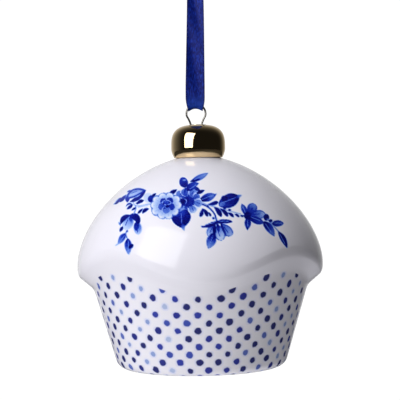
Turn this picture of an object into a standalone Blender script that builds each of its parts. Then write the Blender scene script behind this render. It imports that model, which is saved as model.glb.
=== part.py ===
"""Hanging porcelain bell shaped like a small iced cake, on a satin ribbon loop.

Metres, +Z up. The origin is the hanging point, where a hook bears on the underside of the ribbon's knot.
The bell's front, with its front lobe, faces -Y. Inside this file a height is measured up from the plane
of the rim, and world z is that height less HANG.
"""

import math

import bmesh
import bpy
from mathutils import Matrix, Vector

MM = 0.001

# Driving sizes: heights above the rim, and the bell's outer shape
HANG = 118.0 * MM  # rim plane to hanging point
DOME_RADIUS = 35.0 * MM
DOME_FOOT = 29.6 * MM  # height at which the dome is widest
DOME_RISE = 30.8 * MM
DOME_POWER = 1.7  # exponent of the dome's superellipse
CUP_RADIUS = 23.8 * MM  # outer wall carried down to the rim plane
CUP_FLARE = 0.294  # growth of the cup's radius with height
WALL = 3.1 * MM
LIP_THICKENING = 0.3 * MM

# The icing's wavy lower edge: four lobes, the corner of the overhang and the crease below it
LOBES = 4
WAVE_TURN = math.radians(2.5)
EDGE_HEIGHT, EDGE_WAVE = 29.5 * MM, 3.2 * MM
CREASE_HEIGHT, CREASE_WAVE = 25.2 * MM, 2.7 * MM
VALLEY_INSET = 0.35 * MM
EDGE_ROUND = 2.6 * MM
CREASE_ROUND = 1.8 * MM

# The rim: a rounded outer corner, a ground flat foot and a turned-in lip round the mouth
CORNER_RADIUS = 3.3 * MM
MOUTH_RADIUS = 18.6 * MM
LIP_HEIGHT = 2.9 * MM
LIP_ROUND = 0.8 * MM
FLOOR_FILLET = 1.8 * MM

# The crown: a neck under the gold cap, bored for the hanger
NECK_RADIUS = 5.6 * MM
NECK_TOP = 65.6 * MM
BORE_RADIUS = 2.1 * MM
CEILING = 56.7 * MM
CEILING_RADIUS = 5.2 * MM

# Gold cap
CAP_RADIUS = 7.75 * MM
CAP_MIDDLE = 62.6 * MM
CAP_TOP = 69.0 * MM
CAP_FOOT = 59.5 * MM
CAP_LOWER_RISE = 5.05 * MM
CAP_POWER = 3.0
CAP_SHEET = 0.5 * MM
CAP_HOLE = 2.35 * MM

# Hanger wire, its crimp sleeve and its eye
WIRE_RADIUS = 0.275 * MM
LEG_OFFSET = 0.45 * MM
LOOP_RADIUS = 2.74 * MM
LOOP_CENTRE = 72.2 * MM
EYE_RADIUS = 1.6 * MM
EYE_CENTRE = 49.0 * MM
SLEEVE = (1.7 * MM, 1.0 * MM, 51.4 * MM, 54.4 * MM)  # outer radius, bore, low, high

# Washers, bush and pad round the hanger: outer radius, bore, low, high
BRASS_WASHER = (3.8 * MM, 1.05 * MM, 54.7 * MM, 55.3 * MM)
FELT_WASHER = (4.5 * MM, 1.3 * MM, 55.6 * MM, 56.4 * MM)
CAP_PAD = (4.0 * MM, 2.5 * MM, 66.9 * MM, 67.7 * MM)
BUSH_BORE = 1.1 * MM
BUSH_RADIUS = 1.8 * MM
BUSH_FLANGE = 3.4 * MM
BUSH_LOW, BUSH_SHOULDER, BUSH_HIGH = 57.0 * MM, 65.9 * MM, 66.6 * MM

# Clapper
ROD_RADIUS = 0.4 * MM
ROD_END = 5.9 * MM
ROD_BEND = 43.9 * MM
ROD_EYE_RADIUS = 1.5 * MM
ROD_EYE_CENTRE = 46.875 * MM
BEAD_RADIUS = 6.5 * MM
BEAD_CENTRE = 14.0 * MM
BEAD_BORE = 0.7 * MM
CRIMP_RADIUS = 1.15 * MM
UPPER_CRIMP = (20.8 * MM, 22.4 * MM)
LOWER_CRIMP = (6.3 * MM, 7.3 * MM)

# Ribbon: width, thickness and the route of its front strand as (y, height), knot to fold
RIBBON_WIDTH = 5.6 * MM
RIBBON_THICKNESS = 0.4 * MM
FOLD_WIDTH = 3.1 * MM
FOLD_HEIGHT = 73.6 * MM
FOLD_REACH = 6.0 * MM  # height over which the ribbon narrows to pass the wire loop
FRONT_STRAND = [
    (-1.00, 117.5), (-1.75, 114.5), (-2.55, 110.0), (-3.00, 104.0), (-3.05, 97.5), (-2.75, 91.0),
    (-2.25, 85.0), (-1.85, 80.5), (-1.55, 77.2), (-1.35, 75.6), (-1.05, 74.3), (-0.45, 73.7),
]
KNOT_CENTRE = 120.9 * MM
KNOT_SIZE = (3.9 * MM, 2.3 * MM, 2.9 * MM)  # half width, half depth, half height
RIBBON_TILT = math.radians(90)  # turns the flat of the ribbon to the front
TAIL_WIDTH = 5.2 * MM
TAIL_THICKNESS = 0.6 * MM
TAIL_LENGTH = 11.0 * MM
TAIL_LEAN = math.radians(32)

ROUND_STEPS = 24
CAP_STEPS = 32
SHELL_STEPS = 48


def clear_scene():
    for thing in list(bpy.data.objects):
        bpy.data.objects.remove(thing, do_unlink=True)


def material(name, colour, roughness, metallic=0.0):
    made = bpy.data.materials.new(name)
    made.use_nodes = True
    shader = made.node_tree.nodes["Principled BSDF"]
    shader.inputs["Base Color"].default_value = (*colour, 1.0)
    shader.inputs["Roughness"].default_value = roughness
    shader.inputs["Metallic"].default_value = metallic
    return made


def pivot(name, height):
    """An empty on the bell's axis, at a height above the rim: the parent of what turns about it."""
    empty = bpy.data.objects.new(name, None)
    empty.location = (0.0, 0.0, height - HANG)
    bpy.context.scene.collection.objects.link(empty)
    return empty


def attach(thing, parent, look):
    """Links an object made in heights above the rim, with its origin moved to the parent pivot."""
    thing.data.transform(Matrix.Translation((0.0, 0.0, -(parent.location.z + HANG))))
    thing.parent = parent
    thing.data.materials.append(look)
    bpy.context.scene.collection.objects.link(thing)
    return thing


def bezier(points, steps):
    """Points along a quadratic or cubic Bezier curve, both ends included."""
    found = []
    for i in range(steps + 1):
        line, t = points, i / steps
        while len(line) > 1:
            line = [mix(a, b, t) for a, b in zip(line, line[1:])]
        found.append(line[0])
    return found


def mix(a, b, t):
    return tuple(p + (q - p) * t for p, q in zip(a, b))


def towards(a, b, distance):
    return mix(a, b, distance / math.dist(a, b))


def arc(centre, radius, start, end, steps):
    """Points on an arc in the (radius, height) plane, from one angle in degrees to another."""
    angles = [math.radians(start + (end - start) * i / steps) for i in range(steps + 1)]
    return [(centre[0] + radius * math.cos(a), centre[1] + radius * math.sin(a)) for a in angles]


def superellipse(height, radius, middle, rise, power):
    """Radius of a turned superellipse at a height at or above its middle."""
    share = min(max((height - middle) / rise, 0.0), 1.0)
    return radius * (1.0 - share**power) ** (1.0 / power)


def superellipse_height(at, radius, middle, rise, power):
    return middle + rise * (1.0 - (at / radius) ** power) ** (1.0 / power)


def crowded(low, high, steps):
    """Heights from low to high, closer together where a dome nears its top."""
    shares = [math.sin(math.pi / 2 * i / steps) ** (2.0 / DOME_POWER) for i in range(steps + 1)]
    return [low + (high - low) * share for share in shares]


def turned_mesh(name, outline_at, steps):
    """A closed ring-shaped mesh whose (radius, height) outline may change with azimuth, 0 at the front."""
    azimuths = [2 * math.pi * i / steps for i in range(steps)]
    rings = [outline_at(azimuth) for azimuth in azimuths]
    count = len(rings[0])
    points = [
        (radius * math.sin(azimuth), -radius * math.cos(azimuth), height)
        for azimuth, ring in zip(azimuths, rings)
        for radius, height in ring
    ]
    faces = []
    for i in range(steps):
        for j in range(count):
            here, there = i * count, (i + 1) % steps * count
            faces.append((here + j, here + (j + 1) % count, there + (j + 1) % count, there + j))
    mesh = bpy.data.meshes.new(name)
    mesh.from_pydata(points, [], faces)
    return finished(mesh)


def finished(mesh):
    """Turns the faces outwards and shades the round surfaces smooth."""
    shape = bmesh.new()
    shape.from_mesh(mesh)
    bmesh.ops.recalc_face_normals(shape, faces=shape.faces)
    shape.to_mesh(mesh)
    shape.free()
    mesh.shade_smooth()
    mesh.set_sharp_from_angle(angle=math.radians(35))
    return mesh


def turned(name, outline, parent, look, steps=ROUND_STEPS):
    mesh = turned_mesh(name, lambda azimuth: outline, steps)
    return attach(bpy.data.objects.new(name, mesh), parent, look)


def washer(name, sizes, parent, look):
    outer, bore, low, high = sizes
    edge = min(0.2 * (high - low), 0.2 * (outer - bore))
    outline = [
        (bore, low), (outer - edge, low), (outer, low + edge),
        (outer, high - edge), (outer - edge, high), (bore, high),
    ]
    return turned(name, outline, parent, look)


# Porcelain


def cup_wall(height, inset=0.0):
    """The cup's straight wall, or the line an inset inside it measured square to the wall."""
    return CUP_RADIUS + CUP_FLARE * height - inset * math.hypot(1.0, CUP_FLARE)


def outer_dome(height):
    return superellipse(height, DOME_RADIUS, DOME_FOOT, DOME_RISE, DOME_POWER)


def neck_and_dome(edge_start):
    shoulder = NECK_RADIUS + 0.5 * MM
    dome_top = superellipse_height(shoulder, DOME_RADIUS, DOME_FOOT, DOME_RISE, DOME_POWER)
    neck = [
        (NECK_RADIUS - 0.4 * MM, NECK_TOP),
        (NECK_RADIUS, NECK_TOP - 0.4 * MM),
        (NECK_RADIUS, dome_top + 0.6 * MM),
    ]
    return neck + [(outer_dome(z), z) for z in reversed(crowded(edge_start, dome_top, 11))]


def icing_edge(azimuth):
    """The start of the rounded edge, its corner and the crease below it, at one azimuth."""
    wave = math.cos(LOBES * (azimuth - WAVE_TURN))
    corner_height = EDGE_HEIGHT - EDGE_WAVE * wave
    crease_height = CREASE_HEIGHT - CREASE_WAVE * wave
    corner = (outer_dome(corner_height) - VALLEY_INSET * (1 - wave) / 2, corner_height)
    return corner_height + EDGE_ROUND, corner, (cup_wall(crease_height), crease_height)


def cup_and_foot(crease):
    """Down the cup from the crease, round the bottom corner and in along the flat foot."""
    slope = math.degrees(math.atan(CUP_FLARE))
    centre = (cup_wall(CORNER_RADIUS, CORNER_RADIUS), CORNER_RADIUS)
    corner = arc(centre, CORNER_RADIUS, -slope, -90, 5)
    below = (cup_wall(crease[1] - CREASE_ROUND), crease[1] - CREASE_ROUND)
    return [mix(below, corner[0], t) for t in (1 / 4, 1 / 2, 3 / 4)] + corner


def mouth_and_floor():
    """Round the mouth's lip and up onto the turned-in floor, to the foot of the inner wall."""
    inside = MOUTH_RADIUS + LIP_ROUND
    wall_foot = (cup_wall(LIP_HEIGHT, WALL), LIP_HEIGHT)
    fillet = [
        (wall_foot[0] - FLOOR_FILLET, LIP_HEIGHT),
        wall_foot,
        (cup_wall(LIP_HEIGHT + FLOOR_FILLET, WALL), LIP_HEIGHT + FLOOR_FILLET),
    ]
    lower = arc((inside, LIP_ROUND), LIP_ROUND, 270, 180, 3)
    upper = arc((inside, LIP_HEIGHT - LIP_ROUND), LIP_ROUND, 180, 90, 3)
    return lower + upper[:-1] + bezier(fillet, 3)


def inside_of_shell():
    """Up the inner wall, over the inner dome and in to the bore."""
    radius = DOME_RADIUS - WALL - LIP_THICKENING
    rise = CEILING - DOME_FOOT + 0.8 * MM
    wall_top, dome_start = 26.0 * MM, 34.5 * MM
    wall = [(cup_wall(z, WALL), z) for z in (12 * MM, 19 * MM)]
    blend = bezier(
        [
            (cup_wall(wall_top, WALL), wall_top),
            (cup_wall(wall_top + 3 * MM, WALL), wall_top + 3 * MM),
            (superellipse(dome_start, radius, DOME_FOOT, rise, DOME_POWER) + 0.2 * MM, dome_start - 3 * MM),
            (superellipse(dome_start, radius, DOME_FOOT, rise, DOME_POWER), dome_start),
        ],
        4,
    )
    heights = crowded(dome_start, CEILING, 8)[1:-1]
    dome = [(superellipse(z, radius, DOME_FOOT, rise, DOME_POWER), z) for z in heights]
    dome = [(max(at, CEILING_RADIUS), z) for at, z in dome]
    crown = [(CEILING_RADIUS, CEILING), (BORE_RADIUS, CEILING), (BORE_RADIUS, NECK_TOP)]
    return wall + blend + dome + crown


def shell_outline(azimuth):
    edge_start, corner, crease = icing_edge(azimuth)
    dome = neck_and_dome(edge_start)
    edge = bezier([dome[-1], corner, towards(corner, crease, 0.62 * EDGE_ROUND)], 4)[1:]
    below = (cup_wall(crease[1] - CREASE_ROUND), crease[1] - CREASE_ROUND)
    fillet = bezier([towards(crease, corner, CREASE_ROUND), crease, below], 3)
    return dome + edge + fillet + cup_and_foot(crease) + mouth_and_floor() + inside_of_shell()


def build_porcelain(axis):
    glaze = material("white_porcelain", (0.86, 0.86, 0.9), 0.08)
    mesh = turned_mesh("porcelain_shell", shell_outline, SHELL_STEPS)
    return attach(bpy.data.objects.new("porcelain_shell", mesh), axis, glaze)


# Crown fittings


def cap_outline():
    """The spun bead: round the outside from the hole to the foot, then back up inside."""
    upper, lower = CAP_TOP - CAP_MIDDLE, CAP_LOWER_RISE
    fall = CAP_MIDDLE - CAP_FOOT

    def radius(height, inset):
        rise = (upper if height > CAP_MIDDLE else lower) - inset
        share = min(abs(height - CAP_MIDDLE) / rise, 1.0)
        return (CAP_RADIUS - inset) * (1.0 - share**CAP_POWER) ** (1.0 / CAP_POWER)

    def side(inset):
        steps = 8
        top = upper - inset
        shares = [math.sin(math.pi / 2 * i / steps) ** (2 / CAP_POWER) for i in range(steps)]
        rising = [CAP_MIDDLE + top * share for share in shares]
        falling = [CAP_FOOT, CAP_FOOT + fall / 2]
        return [(radius(z, inset), z) for z in falling + rising] + [(CAP_HOLE, CAP_MIDDLE + top)]

    return list(reversed(side(0.0))) + side(CAP_SHEET)


def build_crown(axis):
    gold = material("polished_gold", (0.9, 0.62, 0.22), 0.08, 1.0)
    felt = material("grey_felt", (0.55, 0.54, 0.52), 0.95)
    brass = material("plain_brass", (0.7, 0.52, 0.24), 0.3, 1.0)
    nylon = material("nylon", (0.85, 0.83, 0.78), 0.45)
    turned("gold_cap", cap_outline(), axis, gold, steps=CAP_STEPS)
    washer("cap_pad", CAP_PAD, axis, felt)
    bush = [
        (BUSH_BORE, BUSH_LOW), (BUSH_RADIUS, BUSH_LOW), (BUSH_RADIUS, BUSH_SHOULDER),
        (BUSH_FLANGE, BUSH_SHOULDER), (BUSH_FLANGE, BUSH_HIGH), (BUSH_BORE, BUSH_HIGH),
    ]
    turned("crown_bush", bush, axis, nylon)
    washer("felt_washer", FELT_WASHER, axis, felt)
    washer("brass_washer", BRASS_WASHER, axis, brass)


# Wire pieces


def smooth_route(route, per_span, closed=False):
    """Points along a Catmull-Rom curve through the route's own points."""
    count = len(route)
    found = []
    for i in range(count if closed else count - 1):
        at = [i - 1, i, i + 1, i + 2]
        a, b, c, d = (Vector(route[k % count if closed else min(max(k, 0), count - 1)]) for k in at)
        for step in range(per_span):
            t = step / per_span
            bend = (2 * a - 5 * b + 4 * c - d) * t**2 + (3 * b - 3 * c + d - a) * t**3
            found.append(0.5 * (2 * b + (c - a) * t + bend))
    return found if closed else found + [Vector(route[-1])]


def tube(name, points, radius, closed=False, resolution=1):
    curve = bpy.data.curves.new(name, "CURVE")
    curve.dimensions = "3D"
    curve.bevel_depth = radius
    curve.bevel_resolution = resolution
    curve.use_fill_caps = not closed
    spline = curve.splines.new("POLY")
    spline.points.add(len(points) - 1)
    for point, place in zip(spline.points, points):
        point.co = (*place, 1.0)
    spline.use_cyclic_u = closed
    return bpy.data.objects.new(name, curve)


def circle(centre, radius, start, end, steps, across):
    """Points on an arc of a wire eye, in the XZ plane, or in the YZ plane where across is False."""
    found = []
    for i in range(steps + 1):
        angle = math.radians(start + (end - start) * i / steps)
        side, height = radius * math.cos(angle), centre + radius * math.sin(angle)
        found.append((side, 0.0, height) if across else (0.0, side, height))
    return found


def hanger_route():
    """One side of the wire, from the eye up through the crown to the loop, then the same mirrored."""
    gap = math.degrees(math.asin(LEG_OFFSET / EYE_RADIUS))
    eye = circle(EYE_CENTRE, EYE_RADIUS, 90 + gap + 18, 450 - gap - 18, 18, True)
    leg = [
        (LEG_OFFSET, 0.0, 51.1 * MM), (LEG_OFFSET, 0.0, 53.0 * MM), (LEG_OFFSET, 0.0, 60.0 * MM),
        (LEG_OFFSET, 0.0, 65.6 * MM), (0.60 * MM, 0.0, 66.6 * MM), (1.25 * MM, 0.0, 67.5 * MM),
        (1.68 * MM, 0.0, 68.4 * MM), (1.66 * MM, 0.0, 69.4 * MM), (2.10 * MM, 0.0, 70.6 * MM),
    ]
    loop = circle(LOOP_CENTRE, LOOP_RADIUS, -8, 188, 14, True)
    return eye + leg + loop + [(-x, y, z) for x, y, z in reversed(leg)]


def build_hanger(axis):
    steel = material("bright_steel_wire", (0.62, 0.6, 0.57), 0.22, 1.0)
    brass = material("crimped_brass", (0.68, 0.5, 0.23), 0.35, 1.0)
    route = smooth_route(hanger_route(), 2, closed=True)
    attach(tube("hanger_wire", route, WIRE_RADIUS, closed=True), axis, steel)
    washer("crimp_sleeve", SLEEVE, axis, brass)


def build_clapper(axis):
    steel = material("clapper_steel", (0.6, 0.58, 0.55), 0.3, 1.0)
    beech = material("oiled_beech", (0.62, 0.42, 0.24), 0.5)
    brass = material("clapper_brass", (0.68, 0.5, 0.23), 0.35, 1.0)
    eye = circle(ROD_EYE_CENTRE, ROD_EYE_RADIUS, -64, 244, 20, False)
    rod = [(0.0, 0.0, ROD_END), (0.0, 0.0, ROD_BEND - 2 * MM), (0.0, 0.0, ROD_BEND)]
    bend = smooth_route(rod[1:] + eye, 2)
    attach(tube("clapper_rod", [Vector(rod[0])] + bend, ROD_RADIUS), axis, steel)
    low = math.degrees(math.asin(BEAD_BORE / BEAD_RADIUS))
    bead = arc((0.0, BEAD_CENTRE), BEAD_RADIUS, low - 90, 90 - low, 14)
    turned("clapper_bead", bead, axis, beech)
    for name, (bottom, top) in (("upper_crimp", UPPER_CRIMP), ("lower_crimp", LOWER_CRIMP)):
        washer(name, (CRIMP_RADIUS, BEAD_BORE, bottom, top), axis, brass)


# Ribbon


def ribbon_route():
    front = [(0.0, y * MM, z * MM) for y, z in FRONT_STRAND]
    back = [(x, -y, z) for x, y, z in reversed(front)]
    return front + [(0.0, 0.0, FOLD_HEIGHT)] + back


def ribbon_share(height):
    """How much of its full width the ribbon has at a height: it narrows to pass through the wire loop."""
    rise = min(max((height - FOLD_HEIGHT) / FOLD_REACH, 0.0), 1.0)
    narrow = FOLD_WIDTH / RIBBON_WIDTH
    return narrow + (1.0 - narrow) * rise * rise * (3.0 - 2.0 * rise)


def build_ribbon(hook):
    satin = material("blue_satin", (0.01, 0.06, 0.42), 0.4)
    points = smooth_route(ribbon_route(), 2)
    ribbon = tube("ribbon", points, RIBBON_THICKNESS / 2, resolution=0)
    ribbon.data.extrude = RIBBON_WIDTH / 2 - RIBBON_THICKNESS / 2
    ribbon.data.twist_mode = "MINIMUM"
    for point in ribbon.data.splines[0].points:
        point.radius = ribbon_share(point.co.z)
        point.tilt = RIBBON_TILT
    attach(ribbon, hook, satin)
    build_knot(hook, satin)


def tail(name, side):
    """A cut ribbon end, rising out of the knot and leaning to one side."""
    shape = bmesh.new()
    bmesh.ops.create_cube(shape, size=1.0)
    bmesh.ops.scale(shape, vec=(TAIL_WIDTH, TAIL_THICKNESS, TAIL_LENGTH), verts=shape.verts)
    bmesh.ops.translate(shape, vec=(0.0, 0.45 * MM * side, TAIL_LENGTH / 2), verts=shape.verts)
    bmesh.ops.rotate(shape, matrix=Matrix.Rotation(side * TAIL_LEAN, 3, "Y"), verts=shape.verts)
    bmesh.ops.translate(shape, vec=(0.0, 0.0, KNOT_CENTRE), verts=shape.verts)
    mesh = bpy.data.meshes.new(name)
    shape.to_mesh(mesh)
    shape.free()
    return mesh


def build_knot(hook, satin):
    shape = bmesh.new()
    bmesh.ops.create_uvsphere(shape, u_segments=16, v_segments=10, radius=1.0)
    bmesh.ops.scale(shape, vec=KNOT_SIZE, verts=shape.verts)
    bmesh.ops.translate(shape, vec=(0.0, 0.0, KNOT_CENTRE), verts=shape.verts)
    mesh = bpy.data.meshes.new("ribbon_knot")
    shape.to_mesh(mesh)
    shape.free()
    knot = attach(bpy.data.objects.new("ribbon_knot", finished(mesh)), hook, satin)
    for name, side in (("left_tail", -1), ("right_tail", 1)):
        end = attach(bpy.data.objects.new(name, tail(name, side)), hook, satin)
        end.hide_render = True
        end.display_type = "WIRE"
        join = knot.modifiers.new(name, "BOOLEAN")
        join.operation = "UNION"
        join.object = end


def main():
    clear_scene()
    hook = pivot("hook_point", HANG)
    hanger_axis = pivot("hanger_pivot", LOOP_CENTRE + LOOP_RADIUS)
    bell_axis = pivot("bell_swivel", 0.0)
    clapper_axis = pivot("clapper_pivot", EYE_CENTRE - EYE_RADIUS)
    build_ribbon(hook)
    build_hanger(hanger_axis)
    build_porcelain(bell_axis)
    build_crown(bell_axis)
    build_clapper(clapper_axis)


main()
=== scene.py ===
"""Looks of the hanging porcelain bell: painted porcelain, gold cap, satin ribbon, wire and clapper."""

import math

import bpy
import numpy as np
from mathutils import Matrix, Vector


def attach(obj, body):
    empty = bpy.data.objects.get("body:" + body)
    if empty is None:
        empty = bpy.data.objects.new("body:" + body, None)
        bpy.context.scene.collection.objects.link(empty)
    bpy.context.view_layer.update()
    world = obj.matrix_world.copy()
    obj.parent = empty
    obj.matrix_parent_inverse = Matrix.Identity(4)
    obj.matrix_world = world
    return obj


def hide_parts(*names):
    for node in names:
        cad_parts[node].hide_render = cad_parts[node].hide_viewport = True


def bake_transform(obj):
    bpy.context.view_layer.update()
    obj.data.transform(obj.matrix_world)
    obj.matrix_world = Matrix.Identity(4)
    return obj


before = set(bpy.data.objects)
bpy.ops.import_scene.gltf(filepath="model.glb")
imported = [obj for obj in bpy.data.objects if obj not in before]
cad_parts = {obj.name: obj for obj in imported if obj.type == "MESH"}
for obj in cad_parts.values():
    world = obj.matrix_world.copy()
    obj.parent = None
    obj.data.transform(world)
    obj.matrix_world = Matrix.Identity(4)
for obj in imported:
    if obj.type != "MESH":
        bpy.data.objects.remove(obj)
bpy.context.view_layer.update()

MM = 0.001
HANG = 118.0  # every shape below is in millimetres above the rim plane until it becomes a mesh

# The bell's own sizes, as in the solid model
DOME_RADIUS, DOME_FOOT, DOME_RISE, DOME_POWER = 35.0, 29.6, 30.8, 1.7
CUP_RADIUS, CUP_FLARE, WALL, LIP_THICKENING = 23.8, 0.294, 3.1, 0.3
LOBES, WAVE_TURN = 4, math.radians(2.5)
EDGE_HEIGHT, EDGE_WAVE = 29.5, 3.2
CREASE_HEIGHT, CREASE_WAVE = 25.2, 2.7
VALLEY_INSET, EDGE_ROUND, CREASE_ROUND = 0.35, 2.0, 1.4
CORNER_RADIUS, MOUTH_RADIUS, LIP_HEIGHT, LIP_ROUND, FLOOR_FILLET = 3.3, 18.6, 2.9, 0.8, 1.8
NECK_RADIUS, NECK_TOP, BORE_RADIUS = 5.6, 65.6, 2.1
CEILING, CEILING_RADIUS = 56.7, 5.2
CAP_RADIUS, CAP_MIDDLE, CAP_TOP, CAP_FOOT = 7.75, 62.6, 69.0, 59.5
CAP_POWER, CAP_SHEET, CAP_HOLE = 3.0, 0.5, 2.35
CAP_BEND, CAP_BEND_SOFTNESS, CAP_TAPER, CAP_TUCK = 61.75, 0.2, 0.2, 0.08
WIRE_RADIUS, LEG_OFFSET, LOOP_RADIUS, LOOP_CENTRE = 0.275, 0.45, 2.74, 72.2
EYE_RADIUS, EYE_CENTRE, LOOP_LEAN = 1.6, 49.0, 0.45
RIBBON_WIDTH, FULL_HALF_WIDTH, RIBBON_THICKNESS, FOLD_HEIGHT = 5.6, 2.74, 0.3, 73.6
BLEND_FROM, BLEND_TO = 73.3, 82.0  # two heights up the ribbon, just below the fold at the wire and higher up towards the knot
FRONT_STRAND = [
    (-1.00, 117.5), (-1.75, 114.5), (-2.55, 110.0), (-3.00, 104.0), (-3.05, 97.5), (-2.75, 91.0),
    (-2.25, 85.0), (-1.85, 80.5), (-1.55, 77.2), (-1.35, 75.6), (-1.05, 74.3), (-0.45, 73.7),
]
KNOT_CENTRE, TAIL_LENGTH = 120.9, 12.6


# Node materials


class Nodes:
    """Short calls that add and link the shader nodes of a material or world."""

    def __init__(self, owner):
        self.tree = owner.node_tree

    def add(self, kind, **settings):
        node = self.tree.nodes.new(kind)
        for name, value in settings.items():
            setattr(node, name, value)
        return node

    def link(self, value, socket):
        if isinstance(value, bpy.types.NodeSocket):
            self.tree.links.new(value, socket)
        else:
            socket.default_value = value

    def math(self, operation, a, b=0.0, c=0.0, clamp=False):
        node = self.add("ShaderNodeMath", operation=operation, use_clamp=clamp)
        for socket, value in zip(node.inputs, (a, b, c)):
            self.link(value, socket)
        return node.outputs[0]

    def times(self, a, b):
        return self.math("MULTIPLY", a, b)

    def plus(self, a, b):
        return self.math("ADD", a, b)

    def minus(self, a, b):
        return self.math("SUBTRACT", a, b)

    def linear(self, value, slope, start):
        return self.math("MULTIPLY_ADD", value, slope, start)

    def spread(self, value, low, high, to_low=0.0, to_high=1.0):
        """A smooth step from to_low where the value is low to to_high where it is high."""
        node = self.add("ShaderNodeMapRange", interpolation_type="SMOOTHSTEP")
        for socket, given in zip(node.inputs, (value, low, high, to_low, to_high)):
            self.link(given, socket)
        return node.outputs[0]

    def noise(self, vector, scale, detail=2.0, distortion=0.0):
        node = self.add("ShaderNodeTexNoise")
        given = {"Vector": vector, "Scale": scale, "Detail": detail, "Distortion": distortion}
        for name, value in given.items():
            self.link(value, node.inputs[name])
        return node.outputs["Fac"]

    def ramp(self, value, stops, mode="LINEAR"):
        node = self.add("ShaderNodeValToRGB")
        band = node.color_ramp
        band.interpolation = mode
        while len(band.elements) < len(stops):
            band.elements.new(1.0)
        for element, (place, colour) in zip(band.elements, stops):
            element.position = place
            element.color = (*colour, 1.0)
        self.link(value, node.inputs["Fac"])
        return node.outputs["Color"]

    def mix(self, share, a, b):
        node = self.add("ShaderNodeMix", data_type="RGBA")
        for k, value in ((0, share), (6, a), (7, b)):
            self.link(value, node.inputs[k])
        return node.outputs[2]

    def bump(self, height, strength, distance):
        node = self.add("ShaderNodeBump")
        for name, value in {"Strength": strength, "Distance": distance, "Height": height}.items():
            self.link(value, node.inputs[name])
        return node.outputs["Normal"]

    def place(self):
        """The point on the object in millimetres, with z as height above the rim plane."""
        where = self.add("ShaderNodeTexCoord").outputs["Object"]
        node = self.add("ShaderNodeVectorMath", operation="MULTIPLY_ADD")
        self.link(where, node.inputs[0])
        node.inputs[1].default_value = (1000.0, 1000.0, 1000.0)
        node.inputs[2].default_value = (0.0, 0.0, HANG)
        return node.outputs[0]

    def split(self, vector):
        node = self.add("ShaderNodeSeparateXYZ")
        self.link(vector, node.inputs[0])
        return node.outputs

    def join(self, *values):
        node = self.add("ShaderNodeCombineXYZ")
        for socket, value in zip(node.inputs, values):
            self.link(value, socket)
        return node.outputs[0]

    def attribute(self, name):
        return self.add("ShaderNodeAttribute", attribute_name=name).outputs["Fac"]

    def surface(self, **values):
        """Sets or links the Principled shader's inputs, named in lower case with underscores."""
        shader = self.tree.nodes["Principled BSDF"]
        for socket in shader.inputs:
            key = socket.name.lower().replace(" ", "_")
            if key in values:
                self.link(values.pop(key), socket)
        assert not values, values


def new_material(name):
    """A fresh node material, and the calls that add its nodes."""
    made = bpy.data.materials.new(name)
    made.use_nodes = True
    return made, Nodes(made)


# Mesh helpers


def mesh_object(name, points, faces, look, body, smooth_angle=40.0):
    """An object from points in millimetres above the rim plane, riding on a body where one is named."""
    mesh = bpy.data.meshes.new(name)
    places = (np.asarray(points, dtype=float) - (0.0, 0.0, HANG)) * MM
    mesh.from_pydata(places.tolist(), [], [tuple(int(k) for k in face) for face in faces])
    mesh.validate()
    mesh.shade_smooth()
    mesh.set_sharp_from_angle(angle=math.radians(smooth_angle))
    mesh.materials.append(look)
    made = bpy.data.objects.new(name, mesh)
    bpy.context.scene.collection.objects.link(made)
    if body:
        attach(made, body)
    return made


def grid_faces(rows, columns, close_rows=False, close_columns=False):
    """Quads over a rows by columns grid of points, wrapped round where it is closed."""
    faces = []
    for i in range(rows if close_rows else rows - 1):
        here, below = i * columns, (i + 1) % rows * columns
        for j in range(columns if close_columns else columns - 1):
            beside = (j + 1) % columns
            faces.append((here + j, below + j, below + beside, here + beside))
    return faces


def turned(name, outline, look, body, steps):
    """A closed (radius, height) outline turned about the bell's axis."""
    outline = np.asarray(outline)
    azimuths = np.arange(steps) * 2 * math.pi / steps
    points = np.stack(
        [
            np.outer(np.sin(azimuths), outline[:, 0]),
            np.outer(-np.cos(azimuths), outline[:, 0]),
            np.tile(outline[:, 1], (steps, 1)),
        ],
        axis=-1,
    )
    faces = grid_faces(steps, len(outline), True, True)
    return mesh_object(name, points.reshape(-1, 3), faces, look, body)


def smooth_route(route, per_span, closed=False):
    """Points along a Catmull-Rom curve through the route's own points."""
    count = len(route)
    found = []
    for i in range(count if closed else count - 1):
        at = [k % count if closed else min(max(k, 0), count - 1) for k in (i - 1, i, i + 1, i + 2)]
        a, b, c, d = (Vector(route[k]) for k in at)
        for step in range(per_span):
            t = step / per_span
            bend = (2 * a - 5 * b + 4 * c - d) * t**2 + (3 * b - 3 * c + d - a) * t**3
            found.append(0.5 * (2 * b + (c - a) * t + bend))
    return found if closed else found + [Vector(route[-1])]


def tube(name, route, radius, look, body, sides=14):
    """A round tube along a closed route in millimetres, with its frames carried along the route."""
    path = [Vector(point) for point in route]
    ahead = [path[(i + 1) % len(path)] - path[i - 1] for i in range(len(path))]
    side = ahead[0].orthogonal().normalized()
    points = []
    for place, along in zip(path, ahead):
        along = along.normalized()
        side = (side - along * side.dot(along)).normalized()
        other = along.cross(side)
        for k in range(sides):
            angle = 2 * math.pi * k / sides
            points.append(place + radius * (math.cos(angle) * side + math.sin(angle) * other))
    return mesh_object(name, points, grid_faces(len(path), sides, True, True), look, body)


def circle(centre, radius, start, end, steps):
    """Points round part of an upright circle across the bell, with its centre at a height on the axis."""
    return [(x, 0.0, z) for x, z in arc((0.0, centre), radius, start, end, steps)]


def arc(centre, radius, start, end, steps):
    angles = np.radians(np.linspace(start, end, steps + 1))
    return [(centre[0] + radius * math.cos(a), centre[1] + radius * math.sin(a)) for a in angles]


def mix(a, b, t):
    return tuple(p + (q - p) * t for p, q in zip(a, b))


def towards(a, b, distance):
    return mix(a, b, distance / math.dist(a, b))


def bezier(points, steps):
    found = []
    for i in range(steps + 1):
        line, t = points, i / steps
        while len(line) > 1:
            line = [mix(a, b, t) for a, b in zip(line, line[1:])]
        found.append(line[0])
    return found


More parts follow.
